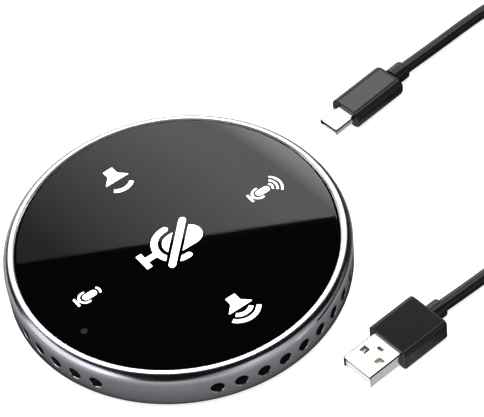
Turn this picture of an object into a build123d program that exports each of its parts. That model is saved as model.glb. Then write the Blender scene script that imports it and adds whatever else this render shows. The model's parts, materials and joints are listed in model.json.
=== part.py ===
from build123d import *
import math
import os

# Conference speakerphone: a flat round puck that lies on a table, with touch controls under
# glass, and its unplugged USB-C to USB-A cable beside it.
# Millimetres. The origin is at the centre of the rubber foot's underside, +Z is up and +Y
# points out of the USB port.

os.makedirs("parts", exist_ok=True)

# ---------------------------------------------------------------- driving dimensions
body_d = 108.0  # widest diameter of the housing
body_h = 14.5  # table to the glass
edge_gap = 1.56  # table to the housing's lower edge
bottom_taper = 0.3  # the wall leans in this much at its lower edge
shoulder_w = 2.13  # from the widest radius in to the trim ring
shoulder_h = 3.55  # from the widest level up to the glass
wall = 2.8  # housing wall
trim_w = 1.12  # polished ring round the glass
trim_fall = 0.36  # the ring's outer edge is this much lower than the glass
glass_t = 0.8
glass_gap = 0.1
shelf_in_d = 95.0  # inside of the shelf that carries the glass
shelf_t = 1.2

hole_d = 4.2  # side perforations
hole_chamfer = 0.35
hole_level = 7.1  # table to the hole centres
hole_pitch = 8.0  # degrees
side_row = range(7, 17)  # places of the ten holes on the right, counted from the front
front_row = range(-2, 3)  # places of the five holes in front

cover_t = 1.8  # bottom cover
cover_recess = 0.14  # the cover sits this much above the housing's lower edge
cover_gap = 0.15  # radial gap between cover and housing
foot_mid_d = 92.0
foot_w = 7.0
foot_groove = 0.5
screw_ring_d = 92.0  # the cover screws, out of sight above the foot
lug_angles = (-125, -55, 60, 120)
lug_d = 6.0
lug_h = 5.0

screw_d = 2.0
screw_head_d = 3.8
thread_gap = 0.02

board_t = 1.0  # both circuit boards
board_screw_r = 39.0
board_screw_angles = (30, 150, 210, 330)
board_boss_d = 4.4

port_w = 8.34  # opening of a USB-C receptacle
port_h = 2.56
port_wall = 0.3
port_len = 7.35
port_set_back = 0.3  # its mouth behind the housing's surface
port_liner_t = 0.6
fit_gap = 0.05

speaker_d = 42.0  # outside of the basket flange
speaker_travel = 0.6  # cone, each way
coil_d = 16.0
coil_t = 0.7
coil_h = 2.8
gap_side = 0.3  # voice coil to either side of the magnet gap
yoke_t = 0.7
chamber_wall = 1.4

film_t = 0.1
glue_t = 0.15
icon_turn = -11.0  # the icons' upright, in degrees from the port's axis

cord_d = 4.2
coil_turns_wide = 4
coil_turns_high = 2
coil_centre = (74.0, 123.0)
coil_inner_r = 13.1

# ---------------------------------------------------------------- levels and radii
body_r = body_d / 2
inner_r = body_r - wall
trim_out_r = body_r - shoulder_w
trim_in_r = trim_out_r - trim_w
glass_r = trim_in_r - glass_gap
shelf_in_r = shelf_in_d / 2

glass_z = body_h - glass_t
mask_z = glass_z - film_t
diffuser_z = mask_z - film_t
shelf_z = mask_z - glue_t
shelf_low_z = shelf_z - shelf_t
widest_z = body_h - shoulder_h

touch_top_z = shelf_low_z - film_t
touch_low_z = touch_top_z - board_t

cover_z = edge_gap + cover_recess
floor_z = cover_z + cover_t
cover_r = inner_r - cover_gap
groove_z = cover_z + foot_groove
foot_mid_r = foot_mid_d / 2
screw_ring_r = screw_ring_d / 2

port_z = hole_level
port_out_w = port_w + 2 * port_wall
port_out_h = port_h + 2 * port_wall
board_top_z = port_z - port_out_h / 2
board_low_z = board_top_z - board_t
port_mouth_y = body_r - port_set_back
screw_r = screw_d / 2 - thread_gap
screw_head_r = screw_head_d / 2

speaker_r = speaker_d / 2
flange_w = 3.6
flange_t = 0.8
chamber_in_r = speaker_r - 1.1
chamber_out_r = chamber_in_r + chamber_wall
gasket_t = 0.4
chamber_top_z = floor_z + 3.6
flange_z = chamber_top_z + gasket_t
flange_top_z = flange_z + flange_t
yoke_z = floor_z + 0.2
magnet_z = yoke_z + yoke_t
plate_t = 0.7
plate_top_z = magnet_z + 2.4
coil_in_r = coil_d / 2 - coil_t
coil_out_r = coil_d / 2
pole_r = coil_in_r - gap_side
yoke_in_r = coil_out_r + gap_side
yoke_out_r = yoke_in_r + 1.3
coil_z = magnet_z + speaker_travel + 0.4
coil_top_z = coil_z + coil_h
rim_in_r = speaker_r - 6.0
rim_out_r = rim_in_r + 1.0
cone_t = 0.3

board_in_r = chamber_out_r + 1.0
board_out_r = shelf_in_r - 2.9


def wall_radius(z):
    """Outside radius of the leaning wall at a level below the widest one."""
    return body_r - bottom_taper * (widest_z - z) / (widest_z - edge_gap)


def polar(radius, angle):
    """The point at a radius and an angle in degrees from +X."""
    turn = math.radians(angle)
    return (radius * math.cos(turn), radius * math.sin(turn))


def outward(radius, angle, z):
    """A plane whose normal points straight out of the body's axis."""
    turn = math.radians(angle)
    x, y = polar(radius, angle)
    return Plane(
        origin=(x, y, z),
        x_dir=(-math.sin(turn), math.cos(turn), 0),
        z_dir=(math.cos(turn), math.sin(turn), 0),
    )


def downward(x, y, z):
    """A plane that faces down, for features cut or raised from below."""
    return Plane(origin=(x, y, z), x_dir=(1, 0, 0), z_dir=(0, 0, -1))


def save(part, label):
    part.label = label
    export_step(part, f"parts/{label}.step")


def ring(label, in_r, out_r, low_z, height):
    """A plain flat ring."""
    with BuildPart() as made:
        with BuildSketch(Plane.XY.offset(low_z)):
            Circle(out_r)
            Circle(in_r, mode=Mode.SUBTRACT)
        extrude(amount=height)
    save(made.part, label)


def disc(label, radius, low_z, height):
    """A plain flat disc."""
    with BuildPart() as made:
        with BuildSketch(Plane.XY.offset(low_z)):
            Circle(radius)
        extrude(amount=height)
    save(made.part, label)


def blocks(label, low_z, size, places, corner=0.0):
    """Equal upright blocks, such as chips, on one level; each place is x, y and a turn."""
    long, wide, high = size
    with BuildPart() as made:
        with BuildSketch(Plane.XY.offset(low_z)):
            for x, y, turn in places:
                with Locations((x, y)):
                    if corner:
                        RectangleRounded(long, wide, corner, rotation=turn)
                    else:
                        Rectangle(long, wide, rotation=turn)
        extrude(amount=high)
    save(made.part, label)


# ---------------------------------------------------------------- housing
hole_angles = [-90 + hole_pitch * place for place in front_row]
hole_angles += [-90 + hole_pitch * place for place in side_row]
hole_angles += [-90 - hole_pitch * place for place in side_row]
lug_places = [polar(screw_ring_r, angle) for angle in lug_angles]
web_len = inner_r + wall / 2 - screw_ring_r
web_places = [polar(screw_ring_r + web_len / 2, angle) for angle in lug_angles]
lug_top_z = floor_z + lug_h

with BuildPart() as housing_ring:
    with BuildSketch(Plane.XZ):
        with BuildLine():
            Polyline(
                (trim_out_r, body_h - trim_fall),
                (trim_out_r, shelf_z),
                (shelf_in_r, shelf_z),
                (shelf_in_r, shelf_low_z),
                (inner_r, shelf_low_z),
                (inner_r, edge_gap),
                (body_r - bottom_taper, edge_gap),
                (body_r, widest_z),
            )
            JernArc(
                start=(body_r, widest_z),
                tangent=(0, 1),
                radius=((shoulder_w**2 + (shoulder_h - trim_fall) ** 2) / (2 * shoulder_w)),
                arc_size=math.degrees(2 * math.atan(shoulder_w / (shoulder_h - trim_fall))),
            )
        make_face()
    revolve(axis=Axis.Z)
    # lugs for the cover screws, joined to the wall by a web
    with BuildSketch(Plane.XY.offset(floor_z)):
        for angle, place, web_place in zip(lug_angles, lug_places, web_places):
            with Locations(place):
                Circle(lug_d / 2)
            with Locations(web_place):
                Rectangle(web_len, lug_d, rotation=angle)
    extrude(amount=lug_h)
    with Locations(*[downward(x, y, floor_z) for x, y in lug_places]):
        Hole(screw_d / 2, depth=lug_h - 0.6)
    # side perforations, each with a small chamfer outside
    with BuildSketch(*[outward(inner_r - 1, angle, hole_level) for angle in hole_angles]):
        Circle(hole_d / 2)
    extrude(amount=wall + 2, mode=Mode.SUBTRACT)
    chamfer_r = wall_radius(hole_level) - hole_chamfer
    with BuildSketch(*[outward(chamfer_r, angle, hole_level) for angle in hole_angles]):
        Circle(hole_d / 2)
    extrude(amount=2 * hole_chamfer, taper=-45, mode=Mode.SUBTRACT)
    with BuildSketch(outward(body_r + 1, 90, port_z)):
        SlotOverall(port_out_w + 2 * (port_liner_t + fit_gap), port_out_h + 2 * (port_liner_t + fit_gap))
    extrude(amount=-(wall + 3), mode=Mode.SUBTRACT)
save(housing_ring.part, "housing_ring")

with BuildPart() as trim_ring:
    with BuildSketch(Plane.XZ):
        with BuildLine():
            Polyline(
                (trim_in_r, shelf_z),
                (trim_out_r, shelf_z),
                (trim_out_r, body_h - trim_fall),
                (trim_in_r, body_h),
                close=True,
            )
        make_face()
    revolve(axis=Axis.Z)
save(trim_ring.part, "trim_ring")


def mesh_strip(label, middle, places):
    """Acoustic cloth glued inside the wall, behind one group of holes."""
    half = (places * hole_pitch + 2) / 2
    with BuildPart() as made:
        with BuildSketch(Plane.XY.offset(hole_level - mesh_h / 2)):
            with BuildLine():
                outer = CenterArc((0, 0), inner_r, middle - half, 2 * half)
                inner = CenterArc((0, 0), inner_r - mesh_t, middle - half, 2 * half)
                Line(outer @ 0, inner @ 0)
                Line(outer @ 1, inner @ 1)
            make_face()
        extrude(amount=mesh_h)
    save(made.part, label)


mesh_t = 0.25
mesh_h = 5.6
side_middle = -90 + hole_pitch * (side_row[0] + side_row[-1]) / 2
mesh_strip("front_mesh", -90, len(front_row))
mesh_strip("right_mesh", side_middle, len(side_row))
mesh_strip("left_mesh", 180 - side_middle, len(side_row))

# ---------------------------------------------------------------- top: glass and icons
disc("top_glass", glass_r, glass_z, glass_t)
ring("glass_adhesive", shelf_in_r + 0.2, glass_r - 0.3, shelf_z, glue_t)
disc("icon_diffuser", shelf_in_r - 0.2, diffuser_z, film_t)


def capsule(x, low_y, high_y, radius):
    """An upright bar with round ends."""
    with Locations((x, (low_y + high_y) / 2)):
        SlotOverall(high_y - low_y + 2 * radius, 2 * radius, rotation=90)


def bow(x, y, radius, middle, half, stroke):
    """An arc-shaped stroke about (x, y), centred on an angle."""
    with BuildLine() as arc:
        CenterArc((x, y), radius, middle - half, 2 * half)
    trace(lines=arc.line, line_width=stroke)


def microphone(x, y, holder_r, stroke, head, head_r, foot):
    """Capsule in a U-shaped holder on a foot; (x, y) is the holder's centre."""
    head_low, head_high = head
    foot_drop, foot_l, foot_h = foot
    stem_l = foot_drop - holder_r
    capsule(x, y + head_low, y + head_high, head_r)
    bow(x, y, holder_r, -90, 90, stroke)
    for side in (-1, 1):
        capsule(x + side * holder_r, y, y + arm_l, stroke / 2)
    with Locations((x, y - holder_r - stem_l / 2)):
        Rectangle(stroke, stem_l)
    with Locations((x, y - foot_drop)):
        Rectangle(foot_l, foot_h)


def loudspeaker(x, y, waves):
    """Box and cone opening towards +X, with sound waves; x is the cone's wide end."""
    with BuildLine() as outline:
        Polyline(
            (x - 5.65, y - 1.75),
            (x - 2.8, y - 1.8),
            (x - 0.3, y - 4.25),
            (x, y - 4.25),
            (x, y + 4.25),
            (x - 0.3, y + 4.25),
            (x - 2.8, y + 1.8),
            (x - 5.65, y + 1.75),
            close=True,
        )
    make_face(outline.edges())
    for back, radius, half in waves:
        bow(x - back, y, radius, 0, half, 1.5)


icon_plane = Plane(
    origin=(0, 0, mask_z),
    x_dir=(math.cos(math.radians(icon_turn)), math.sin(math.radians(icon_turn)), 0),
    z_dir=(0, 0, 1),
)
arm_l = 0.5  # straight ends of a microphone holder's arms
mute_at = (0.2, -0.72)  # icon places are in the icons' own upright frame
mute_r = 6.55
mute_stroke = 2.15
mute_head = (-0.08, 5.37)
mute_head_r = 4.05
mute_foot = (11.7, 6.4, 2.0)  # drop, length and height
slash_at = (0.36, -0.06)
slash_l = 20.4
slash_w = 2.3
slash_gap = 1.05
mic_r = 2.05
mic_stroke = 0.7
mic_head = (0.3, 2.8)
mic_head_r = 1.2
mic_foot = (3.2, 3.4, 0.8)
mic_up_at = (0.55, 30.8)
mic_down_at = (0.25, -34.25)
mic_waves = ((1.85, 43), (3.3, 45), (4.8, 47))  # radius and half angle
wave_rise = 3.25  # their centre above the holder's
volume_down_at = (-32.65, 0.3)
volume_up_at = (33.9, -0.4)
status_at = polar(43.25, -75.5)
status_d = 2.2

with BuildPart() as mask_film:
    with BuildSketch(Plane.XY.offset(mask_z)):
        Circle(glass_r - 0.3)
    extrude(amount=film_t)
    with BuildSketch(icon_plane):
        microphone(*mute_at, mute_r, mute_stroke, mute_head, mute_head_r, mute_foot)
        with Locations(slash_at):
            clear_l, clear_w = slash_l + 2 * slash_gap, slash_w + 2 * slash_gap
            SlotOverall(clear_l, clear_w, rotation=-45, mode=Mode.SUBTRACT)
            SlotOverall(slash_l, slash_w, rotation=-45)
    extrude(amount=film_t, mode=Mode.SUBTRACT)
    with BuildSketch(icon_plane):
        for (x, y), waves in ((mic_up_at, mic_waves), (mic_down_at, mic_waves[:1])):
            microphone(x, y, mic_r, mic_stroke, mic_head, mic_head_r, mic_foot)
            for radius, half in waves:
                bow(x, y + wave_rise, radius, 90, half, mic_stroke)
        loudspeaker(*volume_down_at, ((0.45, 4.8, 44),))
        loudspeaker(*volume_up_at, ((1.55, 4.1, 44), (1.0, 6.05, 54)))
        with Locations(status_at):
            Circle(status_d / 2)
    extrude(amount=film_t, mode=Mode.SUBTRACT)
save(mask_film.part, "mask_film")

# light frame: a white plate with one well under each icon
frame_top_z = diffuser_z
well_places = [
    ((mute_at[0], -2.6), 13.5),
    ((mic_up_at[0], 33.2), 7.4),
    ((mic_down_at[0], -33.5), 7.0),
    ((-32.9, volume_down_at[1]), 7.2),
    ((34.0, volume_up_at[1]), 7.6),
    (status_at, 1.6),
]
led_t = 0.5


def in_icon_frame(place):
    """A place in the icons' upright frame, turned into the body's frame."""
    x, y = place
    turn = math.radians(icon_turn)
    return (x * math.cos(turn) - y * math.sin(turn), x * math.sin(turn) + y * math.cos(turn))


with BuildPart() as light_frame:
    with BuildSketch(Plane.XY.offset(touch_top_z)):
        Circle(shelf_in_r - 0.2)
        for place, radius in well_places:
            with Locations(in_icon_frame(place)):
                Circle(radius, mode=Mode.SUBTRACT)
    extrude(amount=frame_top_z - touch_top_z)
save(light_frame.part, "light_frame")

ring("board_tape", shelf_in_r + 0.2, inner_r - 1.2, touch_top_z, film_t)
disc("touch_board", inner_r - 1.0, touch_low_z, board_t)

led_places = []
for place, radius in well_places[:-1]:
    for side in (-1, 1):
        for row in (-1, 1):
            spot = (place[0] + side * radius * 0.45, place[1] + row * radius * 0.45)
            led_places.append((*in_icon_frame(spot), icon_turn))
blocks("icon_leds", touch_top_z, (1.6, 0.8, led_t), led_places)
blocks("status_led", touch_top_z, (1.6, 0.8, led_t), [(*in_icon_frame(status_at), icon_turn)])
blocks("touch_chip", touch_low_z - 0.8, (5, 5, 0.8), [(*polar(33, 20), 0)])

# ---------------------------------------------------------------- bottom cover and foot
board_screw_places = [polar(board_screw_r, angle) for angle in board_screw_angles]

with BuildPart() as bottom_cover:
    with BuildSketch(Plane.XY.offset(cover_z)):
        Circle(cover_r)
    extrude(amount=cover_t)
    with BuildSketch(Plane.XY.offset(cover_z)):
        Circle(foot_mid_r + foot_w / 2 + fit_gap)
        Circle(foot_mid_r - foot_w / 2 - fit_gap, mode=Mode.SUBTRACT)
    extrude(amount=foot_groove, mode=Mode.SUBTRACT)
    with BuildSketch(Plane.XY.offset(floor_z)):
        Circle(chamber_out_r)
        Circle(chamber_in_r, mode=Mode.SUBTRACT)
    extrude(amount=chamber_top_z - floor_z)
    with BuildSketch(Plane.XY.offset(floor_z)):
        with Locations(*board_screw_places):
            Circle(board_boss_d / 2)
    extrude(amount=board_low_z - floor_z)
    with Locations(*[(x, y, board_low_z) for x, y in board_screw_places]):
        Hole(screw_d / 2, depth=board_low_z - cover_z - 0.5)
    with BuildSketch(Plane.XY.offset(cover_z)):
        with Locations(*lug_places):
            Circle(screw_head_r + 0.1)
    extrude(amount=foot_groove, mode=Mode.SUBTRACT)
    with Locations(*[downward(x, y, groove_z) for x, y in lug_places]):
        CounterSinkHole(screw_d / 2 + 0.1, screw_head_r + 0.1, depth=cover_t, counter_sink_angle=90)
save(bottom_cover.part, "bottom_cover")

with BuildPart() as rubber_foot:
    with BuildSketch():
        Circle(foot_mid_r + foot_w / 2)
        Circle(foot_mid_r - foot_w / 2, mode=Mode.SUBTRACT)
    extrude(amount=groove_z)
    fillet(rubber_foot.faces().sort_by(Axis.Z)[0].edges(), 0.4)
save(rubber_foot.part, "rubber_foot")

blocks("rating_label", cover_z - film_t, (38, 18, film_t), [(0, 0, 0)], corner=1.5)


def cross_recess(plane):
    """The cross-shaped driver recess, cut into a head from its top plane."""
    with BuildSketch(plane) as cross:
        Rectangle(2.0, 0.45)
        Rectangle(0.45, 2.0)
    extrude(cross.sketch, amount=-0.45, mode=Mode.SUBTRACT)


with BuildPart() as cover_screws:
    sink_h = screw_head_r - screw_r
    for x, y in lug_places:
        head = Plane(origin=(x, y, groove_z), x_dir=(1, 0, 0), z_dir=(0, 0, 1))
        with BuildSketch(head):
            Circle(screw_head_r)
        extrude(amount=sink_h, taper=45)
        with BuildSketch(head):
            Circle(screw_r)
        extrude(amount=lug_top_z - 1.2 - groove_z)
        cross_recess(downward(x, y, groove_z))
save(cover_screws.part, "cover_screws")

with BuildPart() as board_screws:
    for x, y in board_screw_places:
        seat = Plane(origin=(x, y, board_top_z), x_dir=(1, 0, 0), z_dir=(0, 0, 1))
        with BuildSketch(seat):
            Circle(screw_head_r)
        extrude(amount=1.0)
        with BuildSketch(seat):
            Circle(screw_r)
        extrude(amount=-(board_top_z - cover_z - 0.8))
        cross_recess(seat.offset(1.0))
save(board_screws.part, "board_screws")

# ---------------------------------------------------------------- loudspeaker
ring("speaker_gasket", chamber_in_r, speaker_r, chamber_top_z, gasket_t)

with BuildPart() as speaker_basket:
    seat_z = plate_top_z - 1.2
    with BuildSketch(Plane.XZ):
        with BuildLine():
            Polyline(
                (yoke_out_r, seat_z),
                (rim_out_r + 0.6, seat_z),
                (rim_out_r + 2.0, flange_z),
                (speaker_r, flange_z),
                (speaker_r, flange_top_z),
                (speaker_r - flange_w, flange_top_z),
                (rim_out_r + 0.4, seat_z + flange_t),
                (yoke_out_r, seat_z + flange_t),
                close=True,
            )
        make_face()
    revolve(axis=Axis.Z)
    with BuildSketch(Plane.XY.offset(seat_z - 1)):
        with PolarLocations((yoke_out_r + rim_out_r) / 2, 6):
            SlotOverall(7.5, 3.4, rotation=90)
    extrude(amount=flange_t + 1.5, mode=Mode.SUBTRACT)
save(speaker_basket.part, "speaker_basket")

with BuildPart() as speaker_yoke:
    with BuildSketch(Plane.XY.offset(yoke_z)):
        Circle(yoke_out_r)
    extrude(amount=plate_top_z - yoke_z)
    with BuildSketch(Plane.XY.offset(magnet_z)):
        Circle(yoke_in_r)
    extrude(amount=plate_top_z - magnet_z, mode=Mode.SUBTRACT)
    chamfer(speaker_yoke.faces().sort_by(Axis.Z)[0].edges(), 0.3)
save(speaker_yoke.part, "speaker_yoke")

disc("speaker_magnet", pole_r - 0.2, magnet_z, plate_top_z - plate_t - magnet_z)
disc("speaker_pole_plate", pole_r, plate_top_z - plate_t, plate_t)
ring("voice_coil", coil_in_r, coil_out_r, coil_z, coil_h)

with BuildPart() as speaker_cone:
    with BuildSketch(Plane.XZ):
        with BuildLine():
            Polyline(
                (coil_out_r, coil_top_z - 2 * cone_t),
                (rim_in_r, flange_top_z - cone_t),
                (rim_out_r, flange_top_z - cone_t),
                (rim_out_r, flange_top_z),
                (rim_in_r, flange_top_z),
                (coil_out_r, coil_top_z - cone_t),
                close=True,
            )
        make_face()
    revolve(axis=Axis.Z)
save(speaker_cone.part, "speaker_cone")

with BuildPart() as dust_cap:
    with BuildSketch(Plane.XZ):
        with BuildLine():
            outer = ThreePointArc(
                (-coil_out_r, coil_top_z + 0.25),
                (0, coil_top_z + 1.5),
                (coil_out_r, coil_top_z + 0.25),
            )
            inner = ThreePointArc(
                (-coil_in_r, coil_top_z),
                (0, coil_top_z + 1.25),
                (coil_in_r, coil_top_z),
            )
            Polyline(outer @ 0, (-coil_out_r, coil_top_z), inner @ 0)
            Polyline(outer @ 1, (coil_out_r, coil_top_z), inner @ 1)
        make_face()
        with Locations((-speaker_r / 2, coil_top_z)):
            Rectangle(speaker_r, 4, mode=Mode.SUBTRACT)
    revolve(axis=Axis.Z)
save(dust_cap.part, "dust_cap")

surround_t = 0.25

with BuildPart() as speaker_surround:
    roll_r = (speaker_r - 2.8 - rim_out_r) / 2
    roll_mid = rim_out_r + roll_r
    with BuildSketch(Plane.XZ):
        with BuildLine():
            outer = CenterArc((roll_mid, flange_top_z), roll_r, 0, 180)
            inner = CenterArc((roll_mid, flange_top_z), roll_r - surround_t, 0, 180)
            Line(outer @ 0, inner @ 0)
            Line(outer @ 1, inner @ 1)
        make_face()
        with Locations((rim_out_r + 0.1, flange_top_z)):
            Rectangle(0.95, surround_t, align=(Align.MAX, Align.MIN))
        with Locations((speaker_r - 2.9, flange_top_z)):
            Rectangle(1.275, surround_t, align=(Align.MIN, Align.MIN))
    revolve(axis=Axis.Z)
save(speaker_surround.part, "speaker_surround")

# ---------------------------------------------------------------- main board
dsp_at = polar(33, 60)
shield_at = polar(33, 135)
can_angles = (300, 316, 331)
mic_angles = (-90, -90 + hole_pitch * 11, 270 - hole_pitch * 11)
pickup_r = board_out_r - 2.1
connector_y = -27.5
lug_gap = 0.6  # main board round the lugs

with BuildPart() as main_board:
    with BuildSketch(Plane.XY.offset(board_low_z)):
        Circle(board_out_r)
        with Locations((0, (board_out_r + port_mouth_y - wall - 0.6) / 2 - 1)):
            Rectangle(13, port_mouth_y - wall - 0.6 - board_out_r + 2)
        Circle(board_in_r, mode=Mode.SUBTRACT)
        with Locations(*lug_places):
            Circle(lug_d / 2 + lug_gap, mode=Mode.SUBTRACT)
        for angle, place in zip(lug_angles, web_places):
            with Locations(place):
                Rectangle(web_len, lug_d + 2 * lug_gap, rotation=angle, mode=Mode.SUBTRACT)
        with Locations(*board_screw_places):
            Circle(screw_d / 2 + 0.1, mode=Mode.SUBTRACT)
    extrude(amount=board_t)
save(main_board.part, "main_board")

blocks("dsp_chip", board_top_z, (10, 10, 1.0), [(*dsp_at, 0)])
blocks("memory_chip", board_top_z, (6, 5, 0.9), [(*polar(33, 101), 0)])
blocks("clock_crystal", board_top_z, (3.2, 2.5, 0.8), [(*polar(33, 82), 0)])
blocks("amplifier_chip", board_top_z, (5, 5, 0.9), [(*polar(33, 198), 0)])
blocks("codec_chip", board_top_z, (6, 6, 0.9), [(*shield_at, 0)])
inductor_places = [(*polar(33, angle), 0) for angle in (222, 237)]
blocks("power_inductors", board_top_z, (4.5, 4.5, 2.4), inductor_places, corner=0.8)
chip_places = [(*polar(40.5, angle), angle) for angle in range(48, 76, 4)]
chip_places += [(*polar(27, angle), angle) for angle in range(-20, 28, 6)]
chip_places += [(*polar(41.2, angle), angle) for angle in range(190, 206, 4)]
blocks("small_capacitors", board_top_z, (1.6, 0.8, 0.8), chip_places)

with BuildPart() as shield_can:
    with BuildSketch(Plane.XY.offset(board_top_z)):
        with Locations(shield_at):
            RectangleRounded(14, 12, 0.6)
    extrude(amount=1.9)
    with BuildSketch(Plane.XY.offset(board_top_z)):
        with Locations(shield_at):
            Rectangle(13.6, 11.6)
    extrude(amount=1.7, mode=Mode.SUBTRACT)
save(shield_can.part, "shield_can")

with BuildPart() as capacitor_cans:
    with BuildSketch(Plane.XY.offset(board_top_z)):
        with Locations(*[polar(34, angle) for angle in can_angles]):
            Circle(2.5)
    extrude(amount=4.6)
    fillet(capacitor_cans.faces().group_by(Axis.Z)[-1].edges(), 0.4)
save(capacitor_cans.part, "capacitor_cans")

connector = (9.6, 3.2, 1.3)

with BuildPart() as flat_connectors:
    for low_z in (board_top_z, touch_low_z - connector[2]):
        with BuildSketch(Plane.XY.offset(low_z)):
            with Locations((0, connector_y)):
                Rectangle(connector[0], connector[1])
        extrude(amount=connector[2])
save(flat_connectors.part, "flat_connectors")

with BuildPart() as flat_cable:
    low = board_top_z + connector[2] / 2
    high = touch_low_z - connector[2] / 2
    edge_y = connector_y - connector[1] / 2
    with BuildSketch(Plane.YZ):
        with BuildLine():
            Line((edge_y, low), (edge_y - 2, low))
            RadiusArc((edge_y - 2, low), (edge_y - 2, high), (high - low) / 2)
            Line((edge_y - 2, high), (edge_y, high))
        trace(line_width=0.3)
    extrude(amount=4, both=True)
save(flat_cable.part, "flat_cable")


# ---------------------------------------------------------------- microphones
mic_t = 1.0
boot_top = 3.4
duct_r = 0.9

blocks("microphones", board_top_z, (2.7, 3.5, mic_t), [(*polar(pickup_r, a), a) for a in mic_angles])

with BuildPart() as mic_boots:
    boot_in_r = pickup_r - 2.0
    for angle in mic_angles:
        middle = polar((boot_in_r + inner_r) / 2, angle)
        with BuildSketch(Plane.XY.offset(board_top_z)):
            with Locations(middle):
                Rectangle(inner_r - boot_in_r, 6, rotation=angle)
        extrude(amount=boot_top)
        with BuildSketch(Plane.XY.offset(board_top_z)):
            with Locations(polar(pickup_r, angle)):
                Rectangle(2.7 + 2 * fit_gap, 3.5 + 2 * fit_gap, rotation=angle)
        extrude(amount=mic_t + fit_gap, mode=Mode.SUBTRACT)
        with BuildSketch(Plane.XY.offset(board_top_z)):
            with Locations(polar(pickup_r, angle)):
                Circle(0.6)
        extrude(amount=port_z - board_top_z + 0.9, mode=Mode.SUBTRACT)
        with BuildSketch(outward(pickup_r, angle, hole_level + 0.4)):
            Circle(duct_r)
        extrude(amount=inner_r, mode=Mode.SUBTRACT)
    with BuildSketch(Plane.XY):
        Circle(body_r + 5)
        Circle(inner_r - mesh_t, mode=Mode.SUBTRACT)
    extrude(amount=body_h, mode=Mode.SUBTRACT)
save(mic_boots.part, "mic_boots")

# ---------------------------------------------------------------- USB-C receptacle
port_back_y = port_mouth_y - port_len


def across(y):
    """An upright plane that faces the port's way out."""
    return Plane(origin=(0, y, port_z), x_dir=(-1, 0, 0), z_dir=(0, 1, 0))


with BuildPart() as port_shell:
    with BuildSketch(across(port_back_y)):
        SlotOverall(port_out_w, port_out_h)
    extrude(amount=port_len)
    with BuildSketch(across(port_mouth_y)):
        SlotOverall(port_w, port_h)
    extrude(amount=-(port_len - 1.0), mode=Mode.SUBTRACT)
save(port_shell.part, "port_shell")

with BuildPart() as port_tongue:
    with BuildSketch(across(port_back_y + 1.0)):
        SlotOverall(port_w, port_h)
    extrude(amount=0.8)
    with BuildSketch(across(port_back_y + 1.8)):
        Rectangle(6.7, 0.6)
    extrude(amount=4.45)
save(port_tongue.part, "port_tongue")

with BuildPart() as port_contacts:
    for side in (-1, 1):
        with BuildSketch(across(port_back_y + 1.8)):
            with GridLocations(0.5, 1, 12, 1):
                with Locations((0, side * 0.35)):
                    Rectangle(0.25, 0.1)
        extrude(amount=4.0)
save(port_contacts.part, "port_contacts")

with BuildPart() as port_liner:
    with BuildSketch(across(inner_r - 0.4)):
        SlotOverall(port_out_w + 2 * port_liner_t, port_out_h + 2 * port_liner_t)
        SlotOverall(port_out_w + 2 * fit_gap, port_out_h + 2 * fit_gap, mode=Mode.SUBTRACT)
    extrude(amount=body_r)
    with BuildSketch(Plane.XY):
        Circle(body_r + wall + body_r)
        Circle(wall_radius(hole_level) - 0.2, mode=Mode.SUBTRACT)
    extrude(amount=body_h, mode=Mode.SUBTRACT)
save(port_liner.part, "port_liner")

# ---------------------------------------------------------------- cable: USB-C end
# Each plug lies flat on the table; a plug's plane stands at the front of its overmould and
# faces its tip.
plug_c_at = (-1.47, 78.9)
plug_c_heading = 86.8  # degrees from +X, from the tip back to the cord
plug_c_w = 12.35
plug_c_h = 6.5
plug_c_len = 21.0
plug_c_shell = (8.25, 2.4, 7.6)
relief_c_len = 5.6
relief_c_d = 6.2

plug_a_at = (72.3, 14.5)
plug_a_heading = 84.7
plug_a_w = 16.0
plug_a_h = 7.9
plug_a_len = 17.7
plug_a_shell = (12.0, 4.5, 12.4)
relief_a_len = 4.6
relief_a_d = 6.2
shell_t = 0.3


def plug_plane(at, heading, level, back=0.0):
    """The plane at a distance behind the overmould's front, facing the plug's tip."""
    turn = math.radians(heading)
    along = (math.cos(turn), math.sin(turn))
    return Plane(
        origin=(at[0] + back * along[0], at[1] + back * along[1], level),
        x_dir=(math.sin(turn), -math.cos(turn), 0),
        z_dir=(-along[0], -along[1], 0),
    )


def plug_c(back=0.0):
    return plug_plane(plug_c_at, plug_c_heading, plug_c_h / 2, back)


def plug_a(back=0.0):
    return plug_plane(plug_a_at, plug_a_heading, plug_a_h / 2, back)


with BuildPart() as usb_c_shell:
    long, high, reach = plug_c_shell
    with BuildSketch(plug_c()):
        SlotOverall(long, high)
    extrude(amount=reach)
    with BuildSketch(plug_c()):
        SlotOverall(long - 2 * shell_t, high - 2 * shell_t)
    extrude(amount=reach, mode=Mode.SUBTRACT)
    fillet(usb_c_shell.faces().sort_by(Axis.Y)[0].outer_wire().edges(), 0.12)
save(usb_c_shell.part, "usb_c_shell")

with BuildPart() as usb_c_insert:
    with BuildSketch(plug_c()):
        SlotOverall(long - 2 * shell_t, high - 2 * shell_t)
    extrude(amount=reach - 0.5)
    with BuildSketch(plug_c(-1.6)):
        Rectangle(6.9, 0.8)
    extrude(amount=reach, mode=Mode.SUBTRACT)
save(usb_c_insert.part, "usb_c_insert")

with BuildPart() as usb_c_contacts:
    for side in (-1, 1):
        with BuildSketch(plug_c(-1.6)):
            with GridLocations(0.5, 1, 12, 1):
                with Locations((0, side * 0.34)):
                    Rectangle(0.25, 0.12)
        extrude(amount=4.0)
save(usb_c_contacts.part, "usb_c_contacts")

with BuildPart() as usb_c_overmould:
    with BuildSketch(plug_c(plug_c_len)):
        RectangleRounded(plug_c_w, plug_c_h, plug_c_h / 2 - 0.5)
    extrude(amount=plug_c_len)
    fillet(usb_c_overmould.faces().sort_by(Axis.Y)[-1].edges(), 1.6)
    fillet(usb_c_overmould.faces().sort_by(Axis.Y)[0].edges(), 0.35)
save(usb_c_overmould.part, "usb_c_overmould")

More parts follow.
